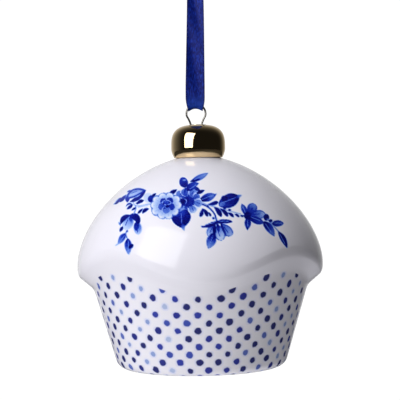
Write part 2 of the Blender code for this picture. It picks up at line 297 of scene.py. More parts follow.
# Camera: the eye stands level with the dome's middle, in millimetres from the axis
EYE_AWAY, EYE_LEVEL, EYE_ASIDE, CAMERA_ROLL = 351.0, 47.4, 0.26, 1.0
VIEW_WIDTH = 114.706  # of the view, at the axis


def build_camera():
    camera = bpy.data.objects.new("camera", bpy.data.cameras.new("camera"))
    camera.data.sensor_fit = "HORIZONTAL"
    camera.data.angle = 2 * math.atan(VIEW_WIDTH / 2 / EYE_AWAY)
    camera.data.clip_start = 0.01
    camera.location = (EYE_ASIDE * MM, -EYE_AWAY * MM, (EYE_LEVEL - HANG) * MM)
    camera.rotation_euler = (math.pi / 2, math.radians(CAMERA_ROLL), 0.0)
    bpy.context.scene.collection.objects.link(camera)
    bpy.context.scene.camera = camera


# Ribbon


def rising(value, start, length):
    """0 up to start, 1 from start + length on, and even between."""
    return min(max((value - start) / length, 0.0), 1.0)


def ribbon_path():
    """Down the front strand from the knot, round the fold at the wire and up the back one."""
    front = [(-0.6 + 0.5 * rising(z, 78.0, 24.0), y, z) for y, z in FRONT_STRAND]
    back = [(x, -y, z) for x, y, z in reversed(front)]
    return smooth_route(front + [(-0.55, 0.0, FOLD_HEIGHT)] + back, 8)


WEFT_PITCH, WARP_THREADS = 0.22, 14


def satin_material():
    look, nodes = new_material("blue_satin_ribbon")
    along, across = nodes.attribute("along"), nodes.attribute("across")
    glint_streaks = nodes.noise(nodes.join(nodes.times(across, 11.0), nodes.times(along, 0.9)), 1.0, 4.0, 0.5)
    weft = nodes.math("SINE", nodes.times(along, 2 * math.pi / WEFT_PITCH))
    warp = nodes.math("SINE", nodes.times(across, 2 * math.pi * WARP_THREADS))
    edge = nodes.spread(nodes.math("ABSOLUTE", across), 0.78, 0.96)
    # the streaks' lighter blue is painted sheen: lengthwise glints of light on the satin, drawn into its
    # colour (they also vary the roughness and threads)
    colour = nodes.ramp(
        glint_streaks,
        [(0.32, (0.0008, 0.0035, 0.075)), (0.5, (0.0022, 0.0105, 0.20)), (0.67, (0.009, 0.045, 0.46))],
    )
    # painted highlight: the satin is made lighter blue low down, where the ribbon curves round the wire and
    # catches the light
    fold_highlight = nodes.spread(nodes.split(nodes.place())[2], 74.0, 78.5, 0.62, 0.0)
    colour = nodes.mix(fold_highlight, colour, (0.009, 0.055, 0.42, 1.0))
    colour = nodes.mix(nodes.times(edge, 0.65), colour, (0.0015, 0.004, 0.08, 1.0))
    rough = nodes.plus(nodes.linear(glint_streaks, 0.25, 0.34), nodes.times(edge, 0.2))
    threads = nodes.plus(nodes.times(weft, 0.25), nodes.times(warp, 0.2))
    cords = nodes.times(nodes.math("ABSOLUTE", weft), edge)
    height = nodes.plus(nodes.plus(threads, nodes.times(glint_streaks, 1.6)), cords)
    nodes.surface(
        base_color=colour, roughness=rough, normal=nodes.bump(height, 0.5, 0.00006),
        specular_ior_level=0.22, sheen_weight=0.04, sheen_roughness=0.35, sheen_tint=(0.1, 0.25, 1.0, 1.0),
    )
    return look


def label_points(mesh, **labels):
    """One number on every point of a mesh for each label."""
    for label, values in labels.items():
        layer = mesh.attributes.new(label, "FLOAT", "POINT")
        layer.data.foreach_set("value", np.array(values, dtype=np.float32))


def band(name, path, half_width, look, body, lift, across_at=None):
    """A closed flat ribbon along a path. lift(row, share across, place) moves a point in mm, and across_at
    gives its width's direction at each path point, which is +X where none is given."""
    path = [Vector(point) for point in path]
    count, columns = len(path), 17
    shares = np.linspace(-1.0, 1.0, columns)
    travelled = [0.0]
    for a, b in zip(path, path[1:]):
        travelled.append(travelled[-1] + (b - a).length)
    points, along, across = [], [], []
    for layer in (1, -1):
        for i, place in enumerate(path):
            ahead = (path[min(i + 1, count - 1)] - path[max(i - 1, 0)]).normalized()
            wide = Vector((1.0, 0.0, 0.0)) if across_at is None else Vector(across_at[i])
            wide = (wide - ahead * wide.dot(ahead)).normalized()
            out = wide.cross(ahead)
            for share in shares:
                thin = RIBBON_THICKNESS / 2 * (1.0 if abs(share) < 0.95 else 0.6)
                point = place + wide * (share * half_width(i)) + out * (layer * thin)
                points.append(point + Vector(lift(i, share, place)))
                along.append(travelled[i])
                across.append(share)
    one = count * columns
    top = grid_faces(count, columns)
    faces = top + [tuple(k + one for k in reversed(face)) for face in top]
    for j in (0, columns - 1):
        for i in range(count - 1):
            a, b = i * columns + j, (i + 1) * columns + j
            quad = (a, a + one, b + one, b)
            faces.append(quad if j else quad[::-1])
    for i in (0, count - 1):
        for j in range(columns - 1):
            a, b = i * columns + j, i * columns + j + 1
            quad = (a, b, b + one, a + one)
            faces.append(quad if i else quad[::-1])
    made = mesh_object(name, points, faces, look, body, 50.0)
    label_points(made.data, along=along, across=across)
    return made


def build_ribbon():
    satin = satin_material()
    path = ribbon_path()

    def half_width(i):
        """Drawn in at the wire, full above it, and narrowing slowly towards the knot."""
        height = path[i].z
        rise = rising(height, FOLD_HEIGHT, 3.2)
        rise = rise * (2.0 - rise)
        gathered, knot = rising(height, 80.0, 25.0), rising(height, 112.0, 6.0)
        return FULL_HALF_WIDTH * (0.74 + 0.26 * rise) * (1.0 - 0.14 * gathered) * (1.0 - 0.30 * knot * knot)

    def lift(i, share, place):
        """Near the fold the ribbon wraps the wire's arch: its edges hang lower and curl back."""
        near = max(0.0, 1.0 - (place.z - FOLD_HEIGHT) / 4.0)
        side = 1.0 if place.y > 0 else -1.0
        shallow = 0.22 * math.sin(3.2 * share + 0.35 * place.z) + 0.15 * math.sin(0.21 * place.z + 1.3)
        cup = 0.55 * share * share
        level = (0.10 - 0.75 * share * share) * near * near
        flat = min(1.0, abs(place.y) / 1.2)
        return (0.0, side * flat * (shallow * (1.0 - near) + cup * (1.0 - 0.6 * near) - 0.35), level)

    ribbon = band("satin_ribbon", path, half_width, satin, None, lift)
    start, end = ((0.0, 0.0, (height - HANG) * MM) for height in (BLEND_FROM, BLEND_TO))
    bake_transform(ribbon)
    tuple(start)
    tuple(end)
    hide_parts("ribbon")
    return ribbon, path, satin


def build_knot(satin):
    """An overhand knot drawn tight: slanting wraps of ribbon round the strands, and two cut tails above."""
    turns, steps = 1.72, 96
    path, across = [], []
    for i in range(steps + 1):
        t = i / steps
        angle = -0.6 + 2 * math.pi * turns * t
        swell = 0.30 * math.sin(math.pi * t)
        wide, deep = 3.15 + swell, 1.55 + swell
        height = KNOT_CENTRE - 1.35 + 2.7 * t + 0.55 * math.sin(angle + 0.4)
        path.append((wide * math.cos(angle), deep * math.sin(angle), height))
        across.append((0.28 * math.sin(angle), 0.0, 1.0))

    def half_width(i):
        return 1.75 - 0.35 * abs(2 * i / steps - 1.0)

    def pleats(i, share, place):
        out = 0.16 * math.sin(7 * share + i * 0.11)
        return (out * place.x / 3.2, out * place.y / 1.6, 0.0)

    wraps = band("knot_wraps", path, half_width, satin, "ribbon", pleats, across)
    core_rows, core_columns = 20, 28
    core = []
    for i in range(core_rows):
        up = -math.pi / 2 + math.pi * (i + 0.5) / core_rows
        for j in range(core_columns):
            round_angle = 2 * math.pi * j / core_columns
            pleat = 1.0 + 0.045 * math.cos(9 * round_angle + 2.0 * math.sin(up))
            out = math.cos(up) ** 0.7 * pleat
            height = KNOT_CENTRE + (2.9 if up > 0 else 4.6) * math.sin(up)
            core.append((2.95 * out * math.cos(round_angle), 1.45 * out * math.sin(round_angle), height))
    faces = grid_faces(core_rows, core_columns, False, True)
    last_row = (core_rows - 1) * core_columns
    faces += [tuple(range(core_columns))[::-1], tuple(range(last_row, last_row + core_columns))]
    heart = mesh_object("knot_heart", core, [face[::-1] for face in faces], satin, "ribbon", 60.0)
    label_points(heart.data, along=[point[2] for point in core], across=[0.25 * point[0] for point in core])

    def tail_half_width(i):
        return 1.6 + 0.95 * min(1.0, i / 9.0)

    tails = []
    for name, side in (("knot_tail_left", -1), ("knot_tail_right", 1)):
        lean = math.radians(30) * side
        route, wide = [], []
        for i in range(25):
            t = i / 24
            reach = TAIL_LENGTH * t
            bow = 0.55 * math.sin(math.pi * t) * side
            forward = 0.5 * side * (1.0 + math.sin(2.4 * t))
            height = KNOT_CENTRE - 1.2 + math.cos(lean) * reach
            route.append((math.sin(lean) * reach - math.cos(lean) * bow, forward, height))
            wide.append((math.cos(lean), 0.25 * side * t, -math.sin(lean)))

        def notch(i, share, place, side=side):
            """A swallowtail cut at the free end, and a shallow curl across the width."""
            end = max(0.0, (i - 18) / 6.0)
            back = -2.3 * end * (1.0 - abs(share))
            return (math.sin(lean) * back, 0.28 * side * share * share, math.cos(lean) * back)

        tails.append(band(name, route, tail_half_width, satin, "ribbon", notch, wide))
    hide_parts("ribbon_knot")
    return [wraps, heart, *tails]


# Porcelain shell
PAINTED_FROM, PAINTED_ROWS = 57.5, 150  # the dome's mesh is fine below this height


def outer_dome(height):
    share = np.clip((np.asarray(height, dtype=float) - DOME_FOOT) / DOME_RISE, 0.0, 1.0)
    return DOME_RADIUS * (1.0 - share**DOME_POWER) ** (1.0 / DOME_POWER)


def dome_height(radius):
    return DOME_FOOT + DOME_RISE * (1.0 - (radius / DOME_RADIUS) ** DOME_POWER) ** (1.0 / DOME_POWER)


def cup_wall(height, inset=0.0):
    return CUP_RADIUS + CUP_FLARE * height - inset * math.hypot(1.0, CUP_FLARE)


def icing_edge(azimuth):
    wave = math.cos(LOBES * (azimuth - WAVE_TURN))
    corner_height = EDGE_HEIGHT - EDGE_WAVE * wave
    crease_height = CREASE_HEIGHT - CREASE_WAVE * wave
    corner = (float(outer_dome(corner_height)) - VALLEY_INSET * (1 - wave) / 2, corner_height)
    return corner_height + EDGE_ROUND, corner, (cup_wall(crease_height), crease_height)


def inner_outline():
    """Round the mouth's lip, up the inner wall, over the inner dome and in to the bore."""
    inside = MOUTH_RADIUS + LIP_ROUND
    fillet = [
        (cup_wall(LIP_HEIGHT, WALL) - FLOOR_FILLET, LIP_HEIGHT),
        (cup_wall(LIP_HEIGHT, WALL), LIP_HEIGHT),
        (cup_wall(LIP_HEIGHT + FLOOR_FILLET, WALL), LIP_HEIGHT + FLOOR_FILLET),
    ]
    lower = arc((inside, LIP_ROUND), LIP_ROUND, 270, 180, 5)
    upper = arc((inside, LIP_HEIGHT - LIP_ROUND), LIP_ROUND, 180, 90, 5)
    radius = DOME_RADIUS - WALL - LIP_THICKENING
    rise = CEILING - DOME_FOOT + 0.8
    wall_top, dome_start = 26.0, 34.5

    def dome(height):
        share = min(max((height - DOME_FOOT) / rise, 0.0), 1.0)
        return radius * (1.0 - share**DOME_POWER) ** (1.0 / DOME_POWER)

    blend = bezier(
        [
            (cup_wall(wall_top, WALL), wall_top),
            (cup_wall(wall_top + 3, WALL), wall_top + 3),
            (dome(dome_start) + 0.2, dome_start - 3),
            (dome(dome_start), dome_start),
        ],
        6,
    )
    sweep = np.sin(math.pi / 2 * np.arange(1, 14) / 14) ** (2.0 / DOME_POWER)
    over = [(max(dome(z), CEILING_RADIUS), z) for z in dome_start + (CEILING - dome_start) * sweep]
    wall = [(cup_wall(z, WALL), z) for z in (10, 15, 20)]
    crown = [(CEILING_RADIUS, CEILING), (BORE_RADIUS, CEILING), (BORE_RADIUS, NECK_TOP)]
    return lower + upper[:-1] + bezier(fillet, 4) + wall + blend + over + crown


def dome_line():
    """Heights down the dome from its shoulder, and how far each is along the surface."""
    heights = np.linspace(float(dome_height(NECK_RADIUS + 0.5)), DOME_FOOT - 2.0, 1500)
    steps = np.hypot(np.diff(heights), np.diff(outer_dome(heights)))
    return heights, np.concatenate([[0.0], np.cumsum(steps)])


def shell_outline(azimuth, line):
    """The whole closed outline at one azimuth, from the neck down the outside and back up the inside."""
    edge_start, corner, crease = icing_edge(azimuth)
    heights, travelled = line
    top = heights[0]
    neck = [(NECK_RADIUS - 0.4, NECK_TOP), (NECK_RADIUS, NECK_TOP - 0.4), (NECK_RADIUS, top + 0.6)]
    paint_top = np.interp(-PAINTED_FROM, -heights, travelled)
    edge_at = np.interp(-edge_start, -heights, travelled)
    bare, painted = np.linspace(0, paint_top, 13)[:-1], np.linspace(paint_top, edge_at, PAINTED_ROWS)
    rows = np.interp(np.concatenate([bare, painted]), travelled, heights)
    dome = list(zip(outer_dome(rows).tolist(), rows.tolist()))
    edge = bezier([dome[-1], corner, towards(corner, crease, 0.62 * EDGE_ROUND)], 10)[1:]
    below = (cup_wall(crease[1] - CREASE_ROUND), crease[1] - CREASE_ROUND)
    fillet = bezier([towards(crease, corner, CREASE_ROUND), crease, below], 8)
    slope = math.degrees(math.atan(CUP_FLARE))
    centre = (cup_wall(CORNER_RADIUS, CORNER_RADIUS), CORNER_RADIUS)
    foot = arc(centre, CORNER_RADIUS, -slope, -90, 8)
    cup = [mix(below, foot[0], t) for t in np.linspace(0, 1, 9)[1:-1]]
    return neck + dome + edge + fillet + cup + foot + inner_outline()


def painted_azimuths():
    """Azimuths round the bell, close together over the painted front."""
    fine = np.arange(-60.0, 50.0, 0.4)
    coarse = np.linspace(50.0, 300.0, 85)[:-1]
    return np.radians(np.concatenate([fine, coarse]))


def build_shell():
    look = porcelain_material()
    azimuths = painted_azimuths()
    line = dome_line()
    outlines = np.array([shell_outline(a, line) for a in azimuths])
    radius, height = outlines[..., 0], outlines[..., 1]
    points = np.stack(
        [radius * np.sin(azimuths)[:, None], -radius * np.cos(azimuths)[:, None], height], axis=-1
    )
    faces = grid_faces(len(azimuths), outlines.shape[1], True, True)
    points = points.reshape(-1, 3)
    shell = mesh_object("painted_shell", points, faces, look, "bell", 60.0)
    label_points(shell.data, pigment=paint_spray(points))
    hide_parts("porcelain_shell")


class Brush:
    """Paints tones, 0 for bare glaze to 1 for the darkest cobalt, on a flat drawing in millimetres."""

    def __init__(self, across, up):
        self.across, self.up = across, up
        self.tone = np.zeros(len(across))

    def lay(self, chosen, depth, tone):
        """Lays paint where depth, in mm inside a stroke's edge, is positive. A faint bleed goes round it."""
        bleed = np.clip(1.0 + depth / 0.55, 0.0, 1.0) ** 2 * 0.12
        under = np.maximum(self.tone[chosen], bleed)
        cover = np.clip((depth + 0.10) / 0.20, 0.0, 1.0)
        cover = cover * cover * (3.0 - 2.0 * cover)
        self.tone[chosen] = under * (1.0 - cover) + tone * cover

    def near(self, points, reach):
        points = np.array(points)
        low, high = points.min(axis=0) - reach, points.max(axis=0) + reach
        return np.nonzero(
            (self.across > low[0]) & (self.across < high[0]) & (self.up > low[1]) & (self.up < high[1])
        )[0]

    def along(self, chosen, line):
        """Share along a line of points, and distance from it, of each chosen point."""
        place = np.stack([self.across[chosen], self.up[chosen]], axis=-1)
        best, share = np.full(len(chosen), 1e9), np.zeros(len(chosen))
        for k, (a, b) in enumerate(zip(line, line[1:])):
            step = b - a
            t = np.clip(((place - a) @ step) / max(step @ step, 1e-9), 0.0, 1.0)
            away = np.linalg.norm(place - a - t[:, None] * step, axis=1)
            closer = away < best
            best[closer] = away[closer]
            share[closer] = (k + t[closer]) / (len(line) - 1)
        return share, best

    def leaf(self, start, end, width, tone, rim=None, bend=0.0, belly=0.45, ends=(0.8, 0.8)):
        """A leaf, petal or comma from start to end. tone is one value or a pair from start to end, bend bows
        it to the left by a share of its length, and smaller ends are rounder."""
        a, b = np.array(start, dtype=float), np.array(end, dtype=float)
        middle = (a + b) / 2 + 2 * bend * np.array([a[1] - b[1], b[0] - a[0]])
        t = np.linspace(0.0, 1.0, 15)[:, None]
        line = (1 - t) ** 2 * a + 2 * t * (1 - t) * middle + t**2 * b
        chosen = self.near(line, width / 2 + 0.7)
        share, away = self.along(chosen, line)
        shape = np.where(
            share < belly,
            np.sin(math.pi / 2 * share / belly) ** ends[0],
            np.cos(math.pi / 2 * np.clip((share - belly) / (1 - belly), 0.0, 1.0)) ** ends[1],
        )
        half = width / 2 * shape
        depth = half - away
        first, last = tone if isinstance(tone, tuple) else (tone, tone)
        shade = first + (last - first) * share
        if rim is not None:
            at_edge = np.clip(1.0 - depth / (0.16 + 0.10 * width), 0.0, 1.0)
            shade = shade + (rim - shade) * at_edge
        self.lay(chosen, depth, shade)

    def dab(self, centre, size, tone, fade=None):
        """A round or oval touch; size is a radius or a pair, and fade is its tone at the rim."""
        wide, tall = size if isinstance(size, tuple) else (size, size)
        chosen = self.near([centre], max(wide, tall) + 0.7)
        out = np.hypot((self.across[chosen] - centre[0]) / wide, (self.up[chosen] - centre[1]) / tall)
        shade = tone if fade is None else tone + (fade - tone) * np.clip(out, 0.0, 1.0)
        self.lay(chosen, (1.0 - out) * min(wide, tall), shade)

    def stem(self, route, width, tone):
        line = np.array([tuple(p)[:2] for p in smooth_route([(*point, 0.0) for point in route], 6)])
        chosen = self.near(line, width / 2 + 0.7)
        self.lay(chosen, width / 2 - self.along(chosen, line)[1], tone)


PETAL, BLUNT = (0.9, 0.45), (0.5, 0.5)  # ends of strokes: narrow then broad, and broad at both


def paint_left_branch(leaf, dab, stem):
    stem([(-18.9, 47.1), (-18.4, 46.2), (-17.0, 46.0), (-15.0, 46.4), (-12.6, 46.6)], 0.26, 0.34)
    stem([(-18.3, 46.2), (-18.2, 45.2), (-18.8, 43.8)], 0.34, 0.38)
    leaf((-17.6, 45.5), (-14.6, 46.0), 0.5, (0.3, 0.16), bend=0.1)
    # half-open flower at the far left, with commas running off it
    leaf((-21.0, 48.0), (-15.3, 50.5), 2.3, (0.62, 0.66), rim=0.74, bend=0.10)
    leaf((-20.3, 48.6), (-16.2, 50.3), 1.25, (0.22, 0.34), rim=0.30, bend=0.08)
    leaf((-19.6, 49.5), (-17.4, 50.3), 0.28, 0.55, bend=0.05)
    leaf((-19.9, 47.2), (-15.2, 50.5), 1.2, (0.92, 0.84), bend=-0.08)
    leaf((-18.6, 48.4), (-16.6, 49.5), 0.3, 0.30, bend=-0.06)
    leaf((-20.5, 49.0), (-20.6, 47.1), 1.3, (0.62, 0.86))
    leaf((-20.8, 49.3), (-22.8, 47.2), 0.95, (0.66, 0.92), belly=0.6)
    leaf((-22.4, 48.5), (-24.1, 46.6), 0.85, (0.80, 0.96), belly=0.6)
    leaf((-20.6, 50.0), (-19.6, 50.6), 0.4, 0.72)
    leaf((-19.2, 50.3), (-18.3, 50.5), 0.3, 0.45)
    leaf((-16.8, 47.8), (-18.2, 46.8), 0.75, 0.92, bend=0.2)
    leaf((-15.8, 47.5), (-17.9, 46.4), 0.95, (0.98, 0.86), bend=-0.14, belly=0.35)
    leaf((-21.0, 45.9), (-18.9, 46.2), 0.48, 0.85, bend=0.3)
    leaf((-19.1, 46.3), (-20.8, 45.1), 0.85, (0.98, 0.8), belly=0.4)
    leaf((-18.1, 45.6), (-19.4, 44.8), 0.55, 0.95)
    leaf((-16.2, 45.2), (-17.7, 43.8), 0.7, (0.95, 0.98), belly=0.6)
    leaf((-14.4, 45.1), (-16.3, 43.8), 1.0, (0.92, 0.98), bend=-0.16, belly=0.5)
    # bud
    dab((-14.6, 48.3), (1.25, 1.35), 0.20, 0.13)
    leaf((-13.6, 46.9), (-13.9, 49.0), 1.9, (0.92, 0.72), ends=BLUNT)
    leaf((-13.6, 48.6), (-12.3, 49.5), 0.75, 0.98)


def paint_lower_left(leaf, dab, stem):
    leaf((-19.3, 42.8), (-21.7, 39.4), 3.0, (0.56, 0.12), rim=0.20, ends=BLUNT)
    leaf((-17.9, 41.4), (-17.6, 37.8), 2.4, (0.72, 0.22), rim=0.26, ends=BLUNT)
    leaf((-18.0, 41.4), (-18.2, 38.9), 1.5, (0.90, 0.72), ends=(0.5, 0.6))
    leaf((-22.6, 40.8), (-19.6, 43.3), 1.35, (0.95, 0.90), bend=0.2)
    leaf((-20.1, 43.1), (-17.5, 40.9), 2.0, (0.86, 0.97), bend=0.28, ends=(0.6, 0.5))
    leaf((-19.9, 43.0), (-19.4, 41.2), 0.9, (0.86, 0.52))
    leaf((-23.2, 41.5), (-22.6, 40.4), 0.42, 0.5)
    leaf((-22.0, 40.2), (-22.9, 38.7), 0.85, 0.97)
    stem([(-20.7, 39.0), (-21.2, 38.2), (-20.9, 36.9)], 0.34, 0.5)
    dab((-20.8, 38.8), 0.28, 0.7)
    leaf((-21.3, 38.3), (-23.5, 35.1), 1.75, (0.92, 0.36), rim=0.5, belly=0.4)
    leaf((-23.0, 35.5), (-24.3, 34.7), 0.3, 0.35)
    leaf((-20.6, 36.8), (-20.5, 32.1), 2.1, (0.98, 0.30), rim=0.55, belly=0.4)
    leaf((-20.6, 36.7), (-20.9, 34.0), 1.3, (0.99, 0.62), belly=0.4)
    leaf((-19.1, 35.0), (-20.5, 33.8), 1.05, 0.98, ends=(0.5, 0.8))


def paint_pale_flower(leaf, dab, stem):
    centre = np.array([-9.4, 46.0])
    tips = [
        (-5.6, 48.3), (-8.0, 49.6), (-10.9, 49.5), (-13.2, 48.2), (-14.0, 46.2),
        (-13.6, 43.9), (-11.3, 42.3), (-8.6, 42.1), (-6.1, 43.6), (-5.0, 46.0),
    ]

    def out(tip, share):
        return centre + share * (np.array(tip) - centre)

    for tip in tips:
        leaf(out(tip, 0.25), tip, 2.75, (0.40, 0.30), rim=0.62, belly=0.66, ends=(0.9, 0.42))
    for tip in tips:
        leaf(out(tip, 0.25), out(tip, 0.94), 2.05, (0.50, 0.05), belly=0.66, ends=PETAL)
        stem([out(tip, 0.5), out(tip, 0.78)], 0.14, 0.34)
    lobes = [
        ((-10.9, 48.0), 0.86), ((-7.7, 48.2), 0.86), ((-11.9, 45.4), 0.70), ((-6.9, 45.3), 0.82),
        ((-9.6, 43.6), 0.62), ((-9.3, 47.6), 0.74),
    ]
    for tip, tone in lobes:
        leaf(centre, tip, 2.5, 0.26, belly=0.6, ends=(0.7, 0.45))
        leaf(centre, out(tip, 0.95), 2.1, (tone, tone - 0.10), belly=0.6, ends=(0.7, 0.5))
    for tip in ((-10.4, 46.6), (-8.2, 46.5), (-9.9, 44.9)):
        stem([centre, tip], 0.2, 0.24)
    leaf((-9.7, 45.6), (-8.5, 46.0), 0.75, 0.99)
    dab((-10.2, 46.5), 0.25, 0.95)
    dab((-8.5, 46.8), 0.22, 0.95)
    dab((-9.9, 45.2), 0.22, 0.9)


def paint_dark_flower(leaf, dab, stem):
    dab((-3.2, 47.1), (3.3, 3.0), 0.84, 0.74)
    petals = [
        ((-4.2, 48.2), (-6.4, 49.8), 1.9, (0.70, 0.46)), ((-3.6, 48.4), (-4.4, 50.7), 2.1, (0.70, 0.50)),
        ((-2.6, 48.4), (-1.0, 50.5), 2.2, (0.66, 0.38)), ((-2.0, 47.9), (0.2, 48.6), 1.9, (0.70, 0.52)),
        ((-1.8, 46.8), (0.8, 46.3), 2.1, (0.60, 0.36)), ((-2.5, 46.0), (-1.4, 43.8), 2.1, (0.64, 0.24)),
        ((-3.6, 45.9), (-4.6, 43.3), 2.0, (0.78, 0.40)), ((-4.6, 46.0), (-6.4, 44.2), 1.7, (0.86, 0.66)),
    ]
    for start, end, width, tone in petals:
        leaf(start, end, width + 0.70, 0.12, belly=0.62, ends=PETAL)
        leaf(start, end, width, tone, belly=0.62, ends=PETAL)
    leaf((-1.6, 45.2), (-1.3, 44.0), 1.0, (0.50, 0.2), ends=BLUNT)
    dab((-3.2, 47.0), (1.9, 1.5), 0.88, 0.80)
    leaf((-5.7, 46.4), (-3.0, 47.9), 1.9, (0.97, 0.90), ends=(0.6, 0.5))
    leaf((-4.6, 48.0), (-4.2, 46.1), 0.34, 0.34, bend=0.42)
    leaf((-5.9, 46.2), (-3.9, 47.6), 0.9, 0.99)
    # leaves and buds above it
    stem([(-4.1, 49.8), (-3.9, 50.6), (-4.0, 51.3)], 0.4, 0.78)
    leaf((-3.3, 50.3), (-0.7, 52.6), 0.55, 0.16, bend=0.2)
    leaf((-3.9, 51.1), (-4.8, 54.0), 2.5, (0.97, 0.66), rim=0.80, ends=(0.55, 0.45))
    leaf((-4.7, 53.2), (-3.5, 53.2), 0.5, 0.40)
    leaf((-2.3, 52.9), (2.7, 55.1), 1.55, (0.80, 0.32), rim=0.62, belly=0.5, bend=-0.03)
    leaf((-2.5, 52.8), (0.4, 53.5), 0.75, (0.99, 0.88), bend=-0.05)
    leaf((-3.5, 50.0), (0.0, 52.2), 2.1, (0.95, 0.55), rim=0.85, bend=0.10, belly=0.35)
    leaf((-1.6, 51.3), (0.4, 49.9), 1.0, (0.70, 0.97))
    leaf((-0.7, 49.3), (1.6, 50.2), 1.0, 0.98)
    leaf((-8.5, 49.2), (-6.3, 50.5), 1.15, 0.97, belly=0.4)
    dab((-9.0, 49.0), (0.42, 0.32), 0.94)
    stem([(-12.0, 47.9), (-11.2, 48.8), (-9.8, 49.3)], 0.22, 0.34)
    # heart-shaped leaf below
    leaf((-5.4, 44.9), (-5.0, 39.6), 5.5, (0.82, 0.98), rim=0.97, belly=0.42, ends=(0.42, 0.62))
    leaf((-5.5, 44.5), (-5.4, 42.2), 3.0, (0.66, 0.90), ends=(0.5, 0.7))
    leaf((-5.0, 40.7), (-4.4, 38.7), 1.0, (0.8, 0.3))
    leaf((-3.9, 44.9), (-5.6, 44.2), 0.8, 0.40, bend=-0.2)


def paint_right_branch(leaf, dab, stem):
    leaf((0.1, 47.3), (4.9, 48.9), 2.3, (0.98, 0.42), rim=0.72, belly=0.5)
    leaf((0.1, 47.3), (3.0, 48.1), 1.5, (0.99, 0.86), belly=0.4)
    leaf((4.3, 48.4), (5.0, 49.2), 0.35, 0.75)
    leaf((2.4, 46.1), (5.4, 46.8), 1.05, (0.80, 0.99), bend=-0.06, belly=0.7, ends=(0.9, 0.5))
    stem([(0.7, 46.7), (2.6, 45.9), (4.6, 45.3), (8.0, 44.3), (11.8, 43.2)], 0.24, 0.36)
    stem([(0.6, 46.3), (2.6, 45.3), (4.3, 43.4), (4.9, 41.4)], 0.42, 0.76)
    dab((2.4, 45.6), 0.32, 0.85)
    commas = [
        ((0.9, 45.0), (0.1, 42.6), 1.05), ((1.0, 44.9), (2.3, 42.6), 1.05),
        ((2.5, 43.9), (3.2, 42.6), 0.62), ((4.2, 45.3), (6.2, 42.5), 1.35),
        ((5.9, 44.8), (8.1, 42.5), 1.05), ((8.1, 43.6), (9.8, 42.3), 0.85),
        ((10.0, 43.2), (11.4, 42.3), 0.68), ((11.6, 42.6), (12.8, 42.4), 0.60),
    ]
    for start, end, width in commas:
        leaf(start, end, width, (0.90, 0.99), bend=0.10, belly=0.62, ends=(0.9, 0.55))
    dab((4.0, 42.1), 0.34, 0.80)
    dab((7.3, 44.9), (0.42, 0.30), 0.93)
    dab((8.7, 44.4), (0.40, 0.28), 0.93)
    # broad dark leaf
    leaf((5.6, 45.8), (11.5, 48.2), 3.9, (0.70, 0.99), rim=0.94, belly=0.55, ends=(0.55, 0.6))
    leaf((5.7, 45.8), (7.6, 46.4), 1.3, (0.45, 0.66))
    dab((7.3, 47.7), (0.95, 0.85), 0.96)
    leaf((10.2, 47.9), (12.3, 48.6), 0.9, (0.95, 0.3))


def paint_hanging_flower(leaf, dab, stem):
    leaf((4.0, 40.6), (2.5, 37.0), 2.1, (0.62, 0.22), rim=0.70, belly=0.6, ends=(0.9, 0.5))
    leaf((6.1, 40.6), (9.2, 37.0), 2.6, (0.66, 0.30), rim=0.82, belly=0.62, ends=PETAL)
    leaf((5.2, 40.4), (6.2, 35.7), 3.0, (0.60, 0.13), rim=0.74, belly=0.62, ends=PETAL)
    leaf((5.1, 40.7), (5.5, 38.0), 1.0, (0.98, 0.7))
    leaf((4.3, 40.8), (4.2, 36.6), 1.0, 0.97)
    leaf((6.0, 40.8), (7.6, 36.8), 0.65, (0.98, 0.8))
    leaf((5.4, 41.2), (1.0, 39.7), 1.25, (0.98, 0.93), bend=0.05, belly=0.4)
    leaf((1.5, 39.6), (0.4, 39.8), 0.45, 0.9)
    leaf((4.4, 40.8), (9.4, 41.0), 1.15, (0.98, 0.90), bend=0.05, belly=0.5, ends=(0.6, 0.5))
    leaf((4.1, 37.7), (2.4, 33.4), 2.7, (0.97, 0.30), rim=0.62, belly=0.42)
    leaf((4.2, 37.6), (3.1, 35.6), 2.0, (0.99, 0.72), belly=0.35)


def paint_fan_flower(leaf, dab, stem):
    leaf((13.8, 42.2), (12.2, 46.1), 1.5, (0.97, 0.52), rim=0.84, belly=0.6)
    leaf((13.9, 43.0), (16.0, 46.0), 2.8, (0.92, 0.42), rim=0.84, belly=0.62, ends=(0.9, 0.42))
    leaf((14.4, 42.8), (18.9, 43.0), 2.6, (0.82, 0.26), rim=0.76, belly=0.6, ends=(0.9, 0.5))
    leaf((13.9, 42.2), (18.6, 40.4), 2.0, (0.98, 0.64), rim=0.86, belly=0.55)
    leaf((14.0, 42.4), (13.7, 38.7), 1.8, (0.97, 0.66), rim=0.94, belly=0.5)
    leaf((13.7, 39.4), (13.7, 38.5), 0.5, 0.96)
    dab((13.8, 42.7), (1.0, 1.1), 0.97)
    leaf((14.1, 42.9), (16.0, 43.4), 0.7, (0.97, 0.6))
    dab((19.2, 42.1), (0.78, 0.95), 0.98)
    stem([(19.4, 41.6), (20.8, 40.1), (22.0, 38.7), (23.6, 36.8)], 0.32, 0.42)
    dab((20.4, 41.1), (0.52, 0.44), 0.98)
    leaf((18.4, 41.0), (21.4, 36.6), 2.2, (0.97, 0.45), rim=0.66, bend=0.04, belly=0.42)
    leaf((18.4, 40.9), (20.2, 38.2), 1.5, (0.99, 0.84), belly=0.4)
    leaf((20.8, 40.3), (24.1, 40.3), 1.8, (0.98, 0.55), rim=0.84, belly=0.45, ends=(0.6, 0.6))
    leaf((22.5, 38.0), (25.0, 33.2), 1.55, (0.98, 0.90), bend=0.05, belly=0.45)


